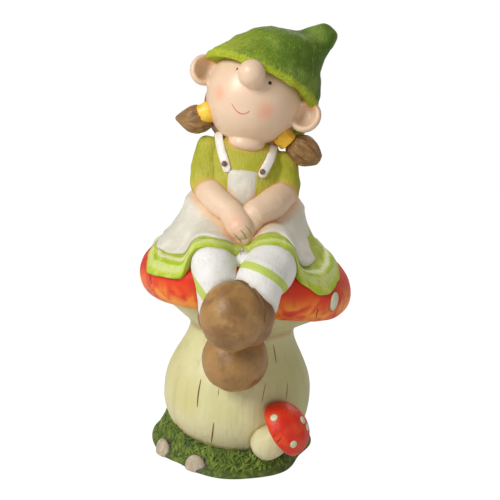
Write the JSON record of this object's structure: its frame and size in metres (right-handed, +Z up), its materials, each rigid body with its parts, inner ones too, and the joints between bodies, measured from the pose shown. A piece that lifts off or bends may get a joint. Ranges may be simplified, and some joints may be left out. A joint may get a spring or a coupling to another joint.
{
  "type": "garden gnome figurine",
  "caption": "Painted cast garden figurine: a gnome girl in a green hat and apron dress sits on a red toadstool with crossed feet, on a round grass plinth.",
  "frame": {"origin": "Centre of the flat underside of the grass plinth, on the ground.", "axes": "+Z up along the figure's height, the face and feet point to -Y, +X is to the right as the front is seen."},
  "size_m": [0.249, 0.3077, 0.5028],
  "materials": {
    "casting": "painted satin",
    "skin": "painted satin",
    "hat_felt": "brushed matt paint",
    "blouse": "brushed matt paint",
    "apron": "washed matt paint",
    "frill": "brushed matt paint",
    "stocking": "matt paint",
    "shoe": "washed satin paint",
    "cap_red": "airbrushed satin paint",
    "stem_cream": "washed satin paint",
    "grass": "brushed matt paint",
    "stone": "matt paint",
    "hair": "washed satin paint",
    "hair_tie": "satin paint",
    "strap": "matt paint"
  },
  "bodies": {
    "root": {"gnome_figurine": "casting"}
  },
  "joints": []
}
